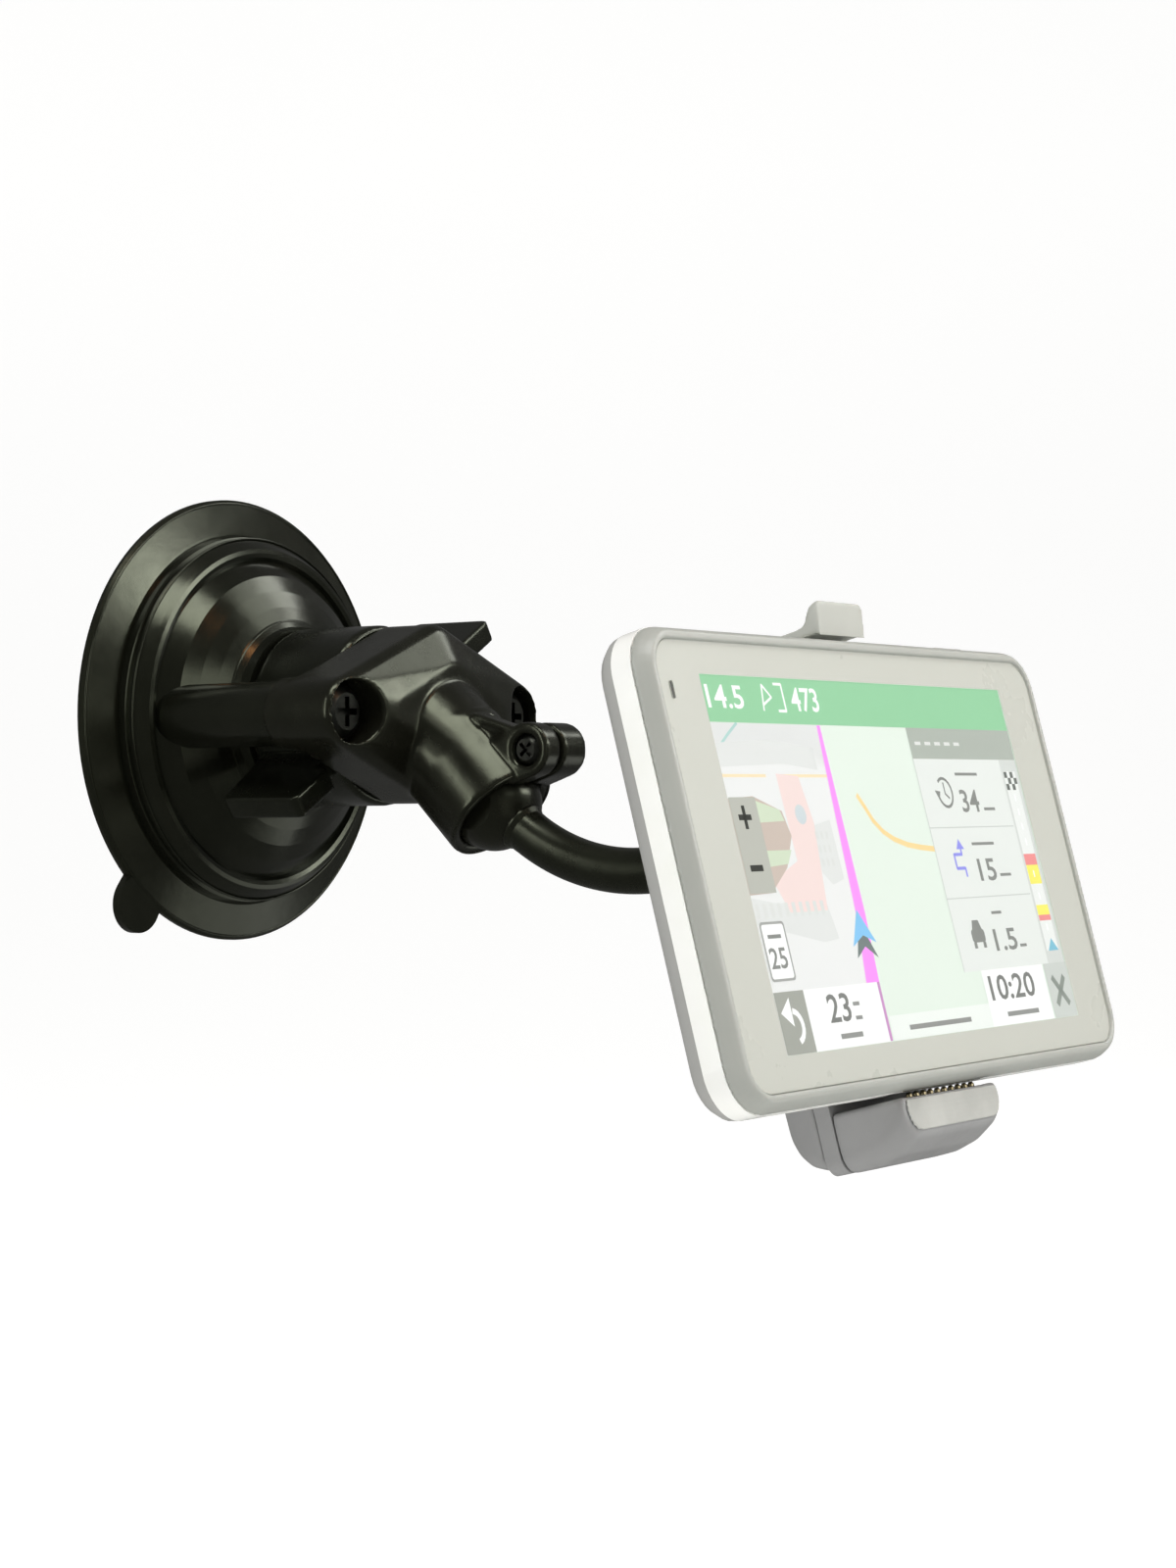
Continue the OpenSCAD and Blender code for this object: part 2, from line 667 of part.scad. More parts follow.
module rear_case() {
    bulge_w = 100;
    bulge_h = 54;
    color([0.62, 0.62, 0.6]) on_device() difference() {
        union() {
            hull() {
                layer(dev_w, dev_h, dev_r, BAND_BACK - EPS - 0.02);
                layer(dev_w - 0.5, dev_h - 0.5, dev_r - 0.2, BAND_BACK - 1.4);
                layer(dev_w - 2.4, dev_h - 2.4, dev_r - 0.8, BAND_BACK - 2.8);
                layer(dev_w - 7, dev_h - 7, dev_r - 2, REAR_STEP);
            }
            hull() {
                layer(bulge_w, bulge_h, 9, REAR_STEP + 1);
                layer(bulge_w - 2, bulge_h - 2, 8.5, -back_depth + 1.2);
                layer(bulge_w - 5, bulge_h - 5, 7.5, -back_depth);
            }
        }
        hull() {
            layer(dev_w - 2 * WALL, dev_h - 2 * WALL, dev_r - WALL, BAND_BACK + 1);
            layer(dev_w - 2 * WALL - 1, dev_h - 2 * WALL - 1, dev_r - WALL, BAND_BACK - 1.6);
            layer(dev_w - 8, dev_h - 8, dev_r - 2.5, REAR_STEP + WALL);
        }
        hull() {
            layer(bulge_w - 3.2, bulge_h - 3.2, 7.4, REAR_STEP + 2);
            layer(bulge_w - 6, bulge_h - 6, 6.4, -back_depth + WALL);
        }
        for (x = [-BOSS_X, BOSS_X], y = [-BOSS_Y, BOSS_Y]) translate([x, y, 0]) {
            rod(1.15, -20, 0);
            rod(2.1, -20, REAR_STEP + 0.9);
        }
        for (i = [-3 : 3]) translate([32 + i * 2.2, -6, -15])
            linear_extrude(4) rounded_rect(0.9, 12 - abs(i) * 1.6, 0.44);
    }
}

module side_frame() {
    inner_w = dev_w - 3.6;
    inner_h = dev_h - 3.6;
    color([0.93, 0.935, 0.92]) on_device() difference() {
        union() {
            difference() {
                slab(dev_w, dev_h, dev_r, BAND_BACK, BEZEL_BACK - EPS);
                slab(inner_w, inner_h, dev_r - 1.8, BAND_BACK - 1, BEZEL_BACK + 1);
            }
            for (x = [-1, 1], y = [-1, 1]) {
                translate([x * BOSS_X, y * BOSS_Y, 0]) rod(2.5, REAR_STEP + 1.7, -3);
                block([min(x * BOSS_X, x * (HALF_W - 1)), y * BOSS_Y - 0.6, -5.8],
                      [max(x * BOSS_X, x * (HALF_W - 1)), y * BOSS_Y + 0.6, -3.4]);
            }
        }
        for (x = [-BOSS_X, BOSS_X], y = [-BOSS_Y, BOSS_Y]) translate([x, y, 0]) rod(0.9, -9, -3.6);
        block([BUTTON_X - 5, HALF_H - 3, BUTTON_Z - 1.25], [BUTTON_X + 5, HALF_H + 1, BUTTON_Z + 1.25]);
        block([-13, -HALF_H - 1, CONTACT_Z - 1.2], [13, -HALF_H + 0.5, BEZEL_BACK + 1]);
        block([-52, -HALF_H - 1, -5.2], [-38, -HALF_H + 3, -3.6]);
    }
}

module front_bezel() {
    color([0.81, 0.815, 0.785]) on_device() difference() {
        hull() {
            layer(dev_w, dev_h, dev_r, BEZEL_BACK);
            layer(dev_w - 0.6, dev_h - 0.6, dev_r - 0.2, -1.3);
            layer(dev_w - 1.7, dev_h - 1.7, dev_r - 0.6, -0.1);
            layer(dev_w - 2.9, dev_h - 2.9, dev_r - 1.1, BEZEL_FRONT - 0.02);
        }
        slab(GLASS_W + 0.3, GLASS_H + 0.3, GLASS_R + 0.15, 0, 2);
        slab(LCD_W + 1, LCD_H + 1, 1, -3, 1);
        slab(dev_w - 5.4, dev_h - 5.4, dev_r - 2.7, -3, -1);
    }
}

module lens_adhesive() {
    color([0.2, 0.2, 0.2]) on_device() difference() {
        slab(GLASS_W - 0.8, GLASS_H - 0.8, GLASS_R - 0.4, 0.02, 0.18);
        slab(LCD_W + 1.2, LCD_H + 1.2, 1, -1, 1);
    }
}

module cover_glass() {
    color([0.81, 0.82, 0.79]) on_device() difference() {
        slab(GLASS_W, GLASS_H, GLASS_R, 0.2, 0.8);
        translate([-GLASS_W / 2 + 3, GLASS_H / 2 - 8, 0]) slab(0.8, 2.8, 0.35, -1, 2);
    }
}

module lcd_panel() {
    color([0.9, 0.95, 0.9]) on_device() block([-LCD_W / 2, -LCD_H / 2, -1.3], [LCD_W / 2, LCD_H / 2, 0]);
}

module backlight() {
    color("white") on_device() block([-LCD_W / 2, -LCD_H / 2, -3.4], [LCD_W / 2, LCD_H / 2, -1.35]);
}

module lcd_frame() {
    color("silver") on_device() difference() {
        block([-LCD_W / 2 - 0.6, -LCD_H / 2 - 0.6, -3.9], [LCD_W / 2 + 0.6, LCD_H / 2 + 0.6, -1.1]);
        block([-LCD_W / 2 - 0.1, -LCD_H / 2 - 0.1, -3.45], [LCD_W / 2 + 0.1, LCD_H / 2 + 0.1, 0]);
    }
}

module chassis() {
    standoff_x = 46;
    standoff_y = 26;
    color([0.6, 0.6, 0.58]) on_device() difference() {
        union() {
            block([-LCD_W / 2, -LCD_H / 2 - 0.6, -4.9], [LCD_W / 2, LCD_H / 2 + 0.6, -3.95]);
            for (x = [-standoff_x, standoff_x], y = [-standoff_y, standoff_y])
                translate([x, y, 0]) rod(2, PCB_FRONT, -4.5);
        }
        for (x = [-24, 0, 24]) translate([x, 0, 0]) slab(14, 30, 3, -6, 0);
        for (x = [-standoff_x, standoff_x], y = [-standoff_y, standoff_y])
            translate([x, y, 0]) rod(0.8, -7, -4.6);
    }
}

module main_pcb() {
    color([0.1, 0.35, 0.2]) on_device() difference() {
        slab(98, 58, 2, PCB_BACK, PCB_FRONT);
        for (x = [-46, 46], y = [-26, 26]) translate([x, y, 0]) rod(1.1, -8, -5);
    }
}

module shield_cans() {
    color("silver") on_device() {
        translate([-24, 8, 0]) slab(26, 18, 0.6, -7.9, PCB_BACK);
        translate([2, -14, 0]) slab(17, 14, 0.6, -7.9, PCB_BACK);
    }
}

module battery() {
    color([0.75, 0.77, 0.8]) on_device() translate([-18, -2, 0])
        slab(52, 36, 2, CELL_BACK, -8);
}

module speaker() {
    color([0.15, 0.15, 0.15]) on_device() translate([32, -6, 0]) {
        rod(9.5, -11.6, -8.2);
        ring(6.5, 9.5, CELL_BACK, -11.6);
    }
}

module gps_antenna() {
    color([0.75, 0.68, 0.55]) on_device() translate([30, 14.5, 0]) {
        slab(18, 18, 0.8, -10.4, PCB_BACK);
        slab(13, 13, 0.3, -10.6, -10.4);
    }
}

module microphone() {
    color("silver") on_device() translate([-GLASS_W / 2 + 3, GLASS_H / 2 - 8, 0]) difference() {
        rod(2, -2.3, -1.05);
        rod(0.5, -1.6, 0);
    }
}

module card_socket() {
    color("silver") on_device() difference() {
        block([-51.6, -35.4, -6.4], [-37.4, -33.2, -2.8]);
        block([-51.2, -36, -5.4], [-37.8, -33.6, -3.4]);
    }
}

module power_button() {
    color([0.7, 0.7, 0.69]) on_device() union() {
        block([BUTTON_X - 4.8, HALF_H - 2.2, BUTTON_Z - 1.05], [BUTTON_X + 4.8, HALF_H + 0.5, BUTTON_Z + 1.05]);
        block([BUTTON_X - 5.8, HALF_H - 2.6, BUTTON_Z - 1.3], [BUTTON_X + 5.8, HALF_H - 1.95, BUTTON_Z + 1.3]);
    }
}

module power_switch() {
    color([0.2, 0.2, 0.2]) on_device() block([BUTTON_X - 2.5, HALF_H - 4.4, -5.3], [BUTTON_X + 2.5, HALF_H - 3.1, -3.3]);
}

module dock_contacts() {
    color("gold") on_device() for (i = [0 : contact_count - 1]) {
        x = (i - (contact_count - 1) / 2) * contact_pitch;
        block([x - 0.7, -HALF_H + 0.05, CONTACT_Z - 1], [x + 0.7, -HALF_H + 0.45, CONTACT_Z + 0.5]);
    }
}

module case_screws() {
    color("silver") on_device() for (x = [-BOSS_X, BOSS_X], y = [-BOSS_Y, BOSS_Y])
        translate([x, y, REAR_STEP + 0.85]) rotate([180, 0, 0]) pan_screw(0.85, 4.6, 1.9, 0.8);
}

suction_cup();
cup_stem();
cam_pin();
cup_housing();
lever_washer();
twist_lever();
socket_bracket();
base_screws();
clamp_screw();
clamp_nut();
base_ball();
arm();
device_ball();
ball_socket();
cradle_back();
cradle_plate();
cradle_foot();
foot_badge();
cradle_clip();
contact_block();
contact_pins();
cradle_pcb();
power_socket();
cradle_screws();
rear_case();
side_frame();
front_bezel();
lens_adhesive();
cover_glass();
lcd_panel();
backlight();
lcd_frame();
chassis();
main_pcb();
shield_cans();
battery();
speaker();
gps_antenna();
microphone();
card_socket();
power_button();
power_switch();
dock_contacts();
case_screws();
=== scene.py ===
"""Looks of a portable navigator on its suction mount.

Materials for every CAD node, the screen picture, fine moulded trim, floor, light and camera.
"""

import itertools
import json
import math

import bmesh
import bpy
from mathutils import Matrix, Vector


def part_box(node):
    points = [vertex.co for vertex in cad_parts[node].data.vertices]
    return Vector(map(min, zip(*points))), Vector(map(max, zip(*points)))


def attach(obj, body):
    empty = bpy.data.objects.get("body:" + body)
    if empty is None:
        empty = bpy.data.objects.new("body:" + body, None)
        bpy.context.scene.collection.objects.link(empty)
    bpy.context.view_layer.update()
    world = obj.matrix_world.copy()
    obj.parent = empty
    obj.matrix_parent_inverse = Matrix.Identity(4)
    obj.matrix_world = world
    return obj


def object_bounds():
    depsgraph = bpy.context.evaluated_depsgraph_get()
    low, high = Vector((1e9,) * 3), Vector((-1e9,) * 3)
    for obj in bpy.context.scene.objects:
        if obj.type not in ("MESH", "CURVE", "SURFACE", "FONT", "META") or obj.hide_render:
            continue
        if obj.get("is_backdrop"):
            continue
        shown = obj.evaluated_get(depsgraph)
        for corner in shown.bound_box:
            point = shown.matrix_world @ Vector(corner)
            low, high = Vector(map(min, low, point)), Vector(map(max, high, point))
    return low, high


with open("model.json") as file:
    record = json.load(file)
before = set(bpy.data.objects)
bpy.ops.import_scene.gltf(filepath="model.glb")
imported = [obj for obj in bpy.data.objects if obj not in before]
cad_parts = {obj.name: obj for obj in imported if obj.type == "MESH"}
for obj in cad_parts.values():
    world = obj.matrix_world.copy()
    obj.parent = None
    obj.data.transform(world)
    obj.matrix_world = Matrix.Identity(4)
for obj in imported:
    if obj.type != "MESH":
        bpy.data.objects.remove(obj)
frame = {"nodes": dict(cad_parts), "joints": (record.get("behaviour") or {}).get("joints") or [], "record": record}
nodes = frame["nodes"]
joints = {j["name"]: j for j in frame["joints"]}


def plain(value):
    """Nested vectors as plain lists of numbers."""
    if isinstance(value, (int, float)):
        return float(value)
    return [plain(v) for v in value]


sizes = {"cad_box": plain(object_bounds())}

# ---- fixed sizes -----------------------------------------------------------------

MM = 0.001
TILT = math.radians(14.76)       # lean of the navigator's face from upright
PANEL_HALF = 0.65 * MM           # half the thickness of the LCD panel
SOCKET_TURN = math.radians(135)  # from up to the way the clamped socket points
LEFT, RIGHT = -48.5, 48.5        # edges of the drawn picture, mm
BOTTOM, TOP = -29.6, 29.6
WINDOW_X = 48.65                 # half the width of the clear window in the printed border, mm
WINDOW_Y = 29.65                 # half its height, mm
BORDER_DEPTH = 0.4               # the border is printed behind this height in the glass, mm
FIRST_LAYER = 0.012              # height of the lowest drawing over the panel, mm
LAYER_STEP = 0.0035              # from one drawing to the next, mm
INK = 0.002                      # thickness of a drawing, mm


# ---- frames ------------------------------------------------------------------

def device_frame():
    """Matrix of the picture plane: x right, y up the screen, z towards the driver."""
    low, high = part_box("lcd_panel")
    centre = (Vector(low) + Vector(high)) / 2
    turn = Matrix.Rotation(math.pi / 2 - TILT, 4, "X")
    face = centre + turn.to_3x3() @ Vector((0, 0, PANEL_HALF))
    return Matrix.Translation(face) @ turn


DEVICE = device_frame()
CUP = Matrix.Rotation(math.pi / 2, 4, "X")
BALL = Vector(joints["arm_tilt"]["pos_m"])
SOCKET = Matrix.Translation(BALL) @ Matrix.Rotation(SOCKET_TURN, 4, "X")


# ---- materials ----------------------------------------------------------------

def linear(rgb):
    """sRGB 0-255 to the linear values that shaders take."""
    out = []
    for c in rgb:
        c = c / 255
        out.append(c / 12.92 if c <= 0.04045 else ((c + 0.055) / 1.055) ** 2.4)
    return (*out, 1)


def new_material(name):
    mat = bpy.data.materials.new(name)
    mat.use_nodes = True
    tree = mat.node_tree
    shader = tree.nodes["Principled BSDF"]
    return mat, tree, shader


def noise(tree, scale, detail=4, rough=0.55):
    place = tree.nodes.get("Texture Coordinate") or tree.nodes.new("ShaderNodeTexCoord")
    tex = tree.nodes.new("ShaderNodeTexNoise")
    tex.inputs["Scale"].default_value = scale
    tex.inputs["Detail"].default_value = detail
    tex.inputs["Roughness"].default_value = rough
    tree.links.new(place.outputs["Object"], tex.inputs["Vector"])
    return tex.outputs["Fac"]


def ranged(tree, source, low, high, span=(0.3, 0.7)):
    node = tree.nodes.new("ShaderNodeMapRange")
    node.inputs["From Min"].default_value = span[0]
    node.inputs["From Max"].default_value = span[1]
    node.inputs["To Min"].default_value = low
    node.inputs["To Max"].default_value = high
    tree.links.new(source, node.inputs["Value"])
    return node.outputs["Result"]


def mixed(tree, factor, a, b):
    node = tree.nodes.new("ShaderNodeMix")
    node.data_type = "RGBA"
    node.inputs["A"].default_value = a
    node.inputs["B"].default_value = b
    tree.links.new(factor, node.inputs["Factor"])
    return node.outputs["Result"]


def bumped(tree, strength, distance, height):
    node = tree.nodes.new("ShaderNodeBump")
    node.inputs["Strength"].default_value = strength
    node.inputs["Distance"].default_value = distance
    tree.links.new(height, node.inputs["Height"])
    return node


def moulded(name, rgb, rough, grain=2600, bump=0.05, mottle=0.12, metal=0.0, tint=(1, 1, 1)):
    """Moulded or painted surface: fine grain, uneven gloss, faint handling marks."""
    mat, tree, shader = new_material(name)
    base = linear(rgb)
    lift = tuple(min(1, c * (1 + mottle) + 0.004 * mottle) for c in base[:3]) + (1,)
    drop = tuple(c * (1 - mottle) for c in base[:3]) + (1,)
    cloud = noise(tree, 90, 6)
    tree.links.new(mixed(tree, ranged(tree, cloud, 0, 1), drop, lift), shader.inputs["Base Color"])
    smear = noise(tree, 210, 5, 0.7)
    tree.links.new(ranged(tree, smear, rough * 0.82, rough * 1.22), shader.inputs["Roughness"])
    shader.inputs["Metallic"].default_value = metal
    shader.inputs["Specular IOR Level"].default_value = 0.4
    shader.inputs["Specular Tint"].default_value = (*tint, 1)
    fine = bumped(tree, bump * 4, 0.04 * MM, noise(tree, grain, 3))
    wide = bumped(tree, bump * 2, 0.4 * MM, noise(tree, 160, 2))
    tree.links.new(fine.outputs["Normal"], wide.inputs["Normal"])
    tree.links.new(wide.outputs["Normal"], shader.inputs["Normal"])
    return mat


def machined(name, rgb, rough, scratch=0.25):
    """Bare or plated metal with fine scratches."""
    return moulded(name, rgb, rough, grain=5200, bump=0.05 + scratch * 0.1, mottle=0.08, metal=1.0)


def lit(name, rgb):
    """Lit colour of the picture, a little uneven like a backlight."""
    mat, tree, shader = new_material(name)
    colour = linear(rgb)
    cloud = noise(tree, 60, 3)
    shade = tuple(c * 0.97 for c in colour[:3]) + (1,)
    shader.inputs["Base Color"].default_value = tuple(c * 0.3 for c in colour[:3]) + (1,)
    tree.links.new(mixed(tree, cloud, shade, colour), shader.inputs["Emission Color"])
    shader.inputs["Emission Strength"].default_value = 0.67
    shader.inputs["Roughness"].default_value = 0.55
    shader.inputs["Specular IOR Level"].default_value = 0.2
    return mat


def maths(tree, operation, a, b=None):
    """A Math node; a is an output, b an output, a number or nothing."""
    node = tree.nodes.new("ShaderNodeMath")
    node.operation = operation
    tree.links.new(a, node.inputs[0])
    if isinstance(b, (int, float)):
        node.inputs[1].default_value = b
    elif b is not None:
        tree.links.new(b, node.inputs[1])
    return node.outputs[0]


def in_window(tree):
    """1 where the glass is clear: inside the border's window, and in front of the print."""
    shift = tree.nodes.new("ShaderNodeVectorMath")
    shift.operation = "SUBTRACT"
    shift.inputs[1].default_value = DEVICE.translation
    tree.links.new(tree.nodes["Texture Coordinate"].outputs["Object"], shift.inputs[0])
    turn = tree.nodes.new("ShaderNodeVectorRotate")
    turn.rotation_type = "X_AXIS"
    turn.inputs["Angle"].default_value = -(math.pi / 2 - TILT)
    tree.links.new(shift.outputs["Vector"], turn.inputs["Vector"])
    split = tree.nodes.new("ShaderNodeSeparateXYZ")
    tree.links.new(turn.outputs["Vector"], split.inputs["Vector"])
    across = maths(tree, "LESS_THAN", maths(tree, "ABSOLUTE", split.outputs["X"]), WINDOW_X * MM)
    along = maths(tree, "LESS_THAN", maths(tree, "ABSOLUTE", split.outputs["Y"]), WINDOW_Y * MM)
    front = maths(tree, "GREATER_THAN", split.outputs["Z"], BORDER_DEPTH * MM)
    return maths(tree, "MAXIMUM", maths(tree, "MULTIPLY", across, along), front)


def touch_glass(name):
    """Thin clear panel: see-through over the picture, pale printed border round it."""
    mat, tree, shader = new_material(name)
    shader.inputs["Base Color"].default_value = linear((185, 187, 178))
    shader.inputs["Specular IOR Level"].default_value = 0.3
    tree.links.new(ranged(tree, noise(tree, 70, 5), 0.26, 0.34), shader.inputs["Roughness"])
    ripple = bumped(tree, 0.008, 0.1 * MM, noise(tree, 120, 2))
    tree.links.new(ripple.outputs["Normal"], shader.inputs["Normal"])
    clear = tree.nodes.new("ShaderNodeBsdfTransparent")
    gloss = tree.nodes.new("ShaderNodeBsdfGlossy")
    gloss.inputs["Roughness"].default_value = 0.16
    facing = tree.nodes.new("ShaderNodeNewGeometry")
    outer = ranged(tree, facing.outputs["Backfacing"], 0.014, 0.0, span=(0, 1))
    pane = tree.nodes.new("ShaderNodeMixShader")
    tree.links.new(outer, pane.inputs[0])
    tree.links.new(clear.outputs[0], pane.inputs[1])
    tree.links.new(gloss.outputs[0], pane.inputs[2])
    choose = tree.nodes.new("ShaderNodeMixShader")
    tree.links.new(in_window(tree), choose.inputs[0])
    tree.links.new(shader.outputs[0], choose.inputs[1])
    tree.links.new(pane.outputs[0], choose.inputs[2])
    tree.links.new(choose.outputs[0], tree.nodes["Material Output"].inputs["Surface"])
    return mat


OLIVE = (0.93, 1.0, 0.72)


def black(name, rgb, rough, **options):
    """Glossy black moulding whose highlights have a faint olive cast."""
    return moulded(name, rgb, rough, tint=OLIVE, **options)


FINISHES = (
    (black, "cup_rubber", (17, 18, 12), 0.2, {"grain": 1500, "bump": 0.045, "mottle": 0.25}),
    (moulded, "stem_nylon", (48, 48, 44), 0.5, {}),
    (machined, "steel", (92, 92, 88), 0.32, {}),
    (black, "base_plastic", (14, 15, 10), 0.19, {"bump": 0.04, "mottle": 0.25}),
    (machined, "blackened_steel", (58, 59, 54), 0.34, {}),
    (moulded, "washer_nylon", (214, 211, 198), 0.45, {}),
    (black, "lever_plastic", (14, 15, 10), 0.24, {"bump": 0.05, "mottle": 0.25}),
    (black, "bracket_plastic", (17, 17, 12), 0.24, {"bump": 0.06, "mottle": 0.25}),
    (black, "ball_plastic", (17, 17, 12), 0.24, {"bump": 0.05}),
    (black, "arm_plastic", (18, 19, 13), 0.28, {"bump": 0.05, "mottle": 0.2}),
    (moulded, "socket_plastic", (140, 140, 136), 0.45, {}),
    (moulded, "cradle_grey", (172, 172, 169), 0.42, {}),
    (moulded, "cradle_light", (178, 180, 172), 0.4, {"bump": 0.02, "mottle": 0.04}),
    (moulded, "cradle_dark", (146, 146, 145), 0.36, {"grain": 1800, "bump": 0.03, "mottle": 0.06}),
    (moulded, "badge_grey", (174, 175, 169), 0.38, {}),
    (moulded, "black_plastic", (60, 60, 58), 0.45, {}),
    # contact_gold: dull gold of the contact pins, made darker than their own colour as painted shade for the
    # shadow they sit in
    (machined, "contact_gold", (160, 148, 116), 0.3, {}),
    (moulded, "board_green", (40, 104, 66), 0.4, {"bump": 0.1}),
    (moulded, "rear_plastic", (172, 172, 168), 0.42, {"mottle": 0.04}),
    (moulded, "silver_band", (254, 255, 248), 0.22, {"metal": 0.05, "bump": 0.015, "mottle": 0.03}),
    (moulded, "bezel_plastic", (166, 168, 161), 0.36, {"grain": 1800, "bump": 0.003, "mottle": 0.03}),
    (moulded, "adhesive_black", (90, 90, 88), 0.7, {}),
    (moulded, "white_plastic", (236, 236, 234), 0.5, {}),
    (machined, "chassis_metal", (176, 176, 172), 0.4, {}),
    (machined, "can_tin", (196, 196, 190), 0.3, {}),
    (machined, "cell_foil", (190, 194, 200), 0.35, {"scratch": 0.5}),
    (moulded, "ceramic", (206, 186, 150), 0.5, {}),
)
MATERIALS = {name: make(name, rgb, rough, **options) for make, name, rgb, rough, options in FINISHES}
MATERIALS["screen_glass"] = touch_glass("screen_glass")
MATERIALS["lcd_surface"] = lit("lcd_surface", (222, 238, 222))
SLOTS = {s["node"]: s["material_slot"] for s in frame["record"]["subparts"]}


def dress(obj, material):
    obj.data.materials.clear()
    obj.data.materials.append(MATERIALS[material] if isinstance(material, str) else material)


def soften(obj, voxel, rounds):
    """Rounds every edge of a moulding, as the radius of its mould does."""
    shell = obj.modifiers.new("shell", "REMESH")
    shell.mode = "VOXEL"
    shell.voxel_size = voxel * MM
    shell.use_smooth_shade = True
    relax = obj.modifiers.new("relax", "SMOOTH")
    relax.factor = 0.5
    relax.iterations = rounds


def smooth_facets(obj):
    """Even shading for a faceted shell with fine slots, which a remesh would close."""
    for face in obj.data.polygons:
        face.use_smooth = True
    weld = obj.modifiers.new("weld", "WELD")
    weld.merge_threshold = 0.003 * MM
    flat = obj.modifiers.new("flat", "DECIMATE")
    flat.decimate_type = "DISSOLVE"
    flat.angle_limit = math.radians(1.0)
    split = obj.modifiers.new("split", "EDGE_SPLIT")
    split.split_angle = math.radians(36)
    split.use_edge_sharp = False
    blend = obj.modifiers.new("normals", "WEIGHTED_NORMAL")
    blend.keep_sharp = False
    blend.weight = 60


DARK_SCREWS = ("base_screws", "clamp_screw", "clamp_nut")
SLOTTED = ("rear_case",)
SOFTENED = {
    # node: voxel size in mm, rounds of smoothing
    "socket_bracket": (0.36, 14),
    "twist_lever": (0.36, 8),
    "cradle_clip": (0.25, 7),
    "cradle_foot": (0.3, 26),
    "front_bezel": (0.3, 3),
    "cradle_back": (0.36, 10),
    "foot_badge": (0.2, 3),
}
for node_name, node_obj in nodes.items():
    dress(node_obj, "blackened_steel" if node_name in DARK_SCREWS else SLOTS[node_name])
    if node_name in SOFTENED:
        soften(node_obj, *SOFTENED[node_name])
    if node_name in SLOTTED:
        smooth_facets(node_obj)


# ---- pieces ---------------------------------------------------------------------

def mesh_piece(name, bm, matrix, material, body):
    """A new mesh object placed by matrix, with its vertices in the row frame."""
    bm.transform(matrix)
    data = bpy.data.meshes.new(name)
    bm.to_mesh(data)
    bm.free()
    obj = bpy.data.objects.new(name, data)
    bpy.context.scene.collection.objects.link(obj)
    dress(obj, material)
    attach(obj, body)


LAYER = itertools.count(1)


def picture_layer():
    """Each drawing of the picture lies a little above the one before it, all under the glass."""
    return (FIRST_LAYER + LAYER_STEP * next(LAYER)) * MM


def outline(bm, points, z):
    """A flat shape with a very small thickness."""
    top = [bm.verts.new((x * MM, y * MM, z + INK * MM)) for x, y in points]
    low = [bm.verts.new((x * MM, y * MM, z)) for x, y in points]
    bm.faces.new(top)
    bm.faces.new(list(reversed(low)))
    for i in range(len(points)):
        j = (i + 1) % len(points)
        bm.faces.new((top[j], top[i], low[i], low[j]))


PAINTS = {}


def paint(rgb):
    if rgb not in PAINTS:
        PAINTS[rgb] = lit("picture_%02x%02x%02x" % rgb, rgb)
    return PAINTS[rgb]


def drawing(name, rgb, shapes):
    """Shapes of one colour on the picture, as one piece."""
    bm = bmesh.new()
    z = picture_layer()
    for points in shapes:
        outline(bm, points, z)
    bmesh.ops.recalc_face_normals(bm, faces=bm.faces)
    mesh_piece(name, bm, DEVICE, paint(rgb), "navigator")


def rect(x0, y0, x1, y1):
    return [(x0, y0), (x1, y0), (x1, y1), (x0, y1)]


def soft_rect(x0, y0, x1, y1, r=0.6, steps=4):
    """A rectangle with round corners."""
    corners = (
        (x1 - r, y1 - r, 0), (x0 + r, y1 - r, 90), (x0 + r, y0 + r, 180), (x1 - r, y0 + r, 270))
    return [p for cx, cy, start in corners for p in arc(cx, cy, r, start, start + 90, steps)]


def stroke(path, width):
    """Quads along a path, wide as given, with square joints."""
    shapes = []
    for (ax, ay), (bx, by) in zip(path, path[1:]):
        length = math.hypot(bx - ax, by - ay)
        nx, ny = (by - ay) / length * width / 2, -(bx - ax) / length * width / 2
        ex, ey = (bx - ax) / length * width * 0.2, (by - ay) / length * width * 0.2
        shapes.append([(ax - ex + nx, ay - ey + ny), (bx + ex + nx, by + ey + ny),
                       (bx + ex - nx, by + ey - ny), (ax - ex - nx, ay - ey - ny)])
    return shapes


def arc(cx, cy, r, start, end, steps):
    """Points along an arc, angles in degrees."""
    points = []
    for i in range(steps + 1):
        a = math.radians(start + (end - start) * i / steps)
        points.append((cx + r * math.cos(a), cy + r * math.sin(a)))
    return points


def digits(name, words, x0, y0, x1, y1, rgb):
    """Numbers in a plain face, fitted to a box on the picture."""
    curve = bpy.data.curves.new(name, "FONT")
    curve.body = words
    curve.offset = 0.014
    curve.resolution_u = 3
    holder = bpy.data.objects.new(name + "_curve", curve)
    bpy.context.scene.collection.objects.link(holder)
    bpy.context.view_layer.update()
    data = bpy.data.meshes.new_from_object(holder)
    bpy.data.objects.remove(holder)
    xs = [v.co.x for v in data.vertices]
    ys = [v.co.y for v in data.vertices]
    wide, tall = max(xs) - min(xs), max(ys) - min(ys)
    data.transform(Matrix.Translation((-min(xs), -min(ys), 0)))
    data.transform(Matrix.Diagonal(((x1 - x0) / wide * MM, (y1 - y0) / tall * MM, MM, 1)))
    data.transform(DEVICE @ Matrix.Translation((x0 * MM, y0 * MM, picture_layer())))
    data.name = name
    obj = bpy.data.objects.new(name, data)
    bpy.context.scene.collection.objects.link(obj)
    dress(obj, paint(rgb))
    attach(obj, "navigator")


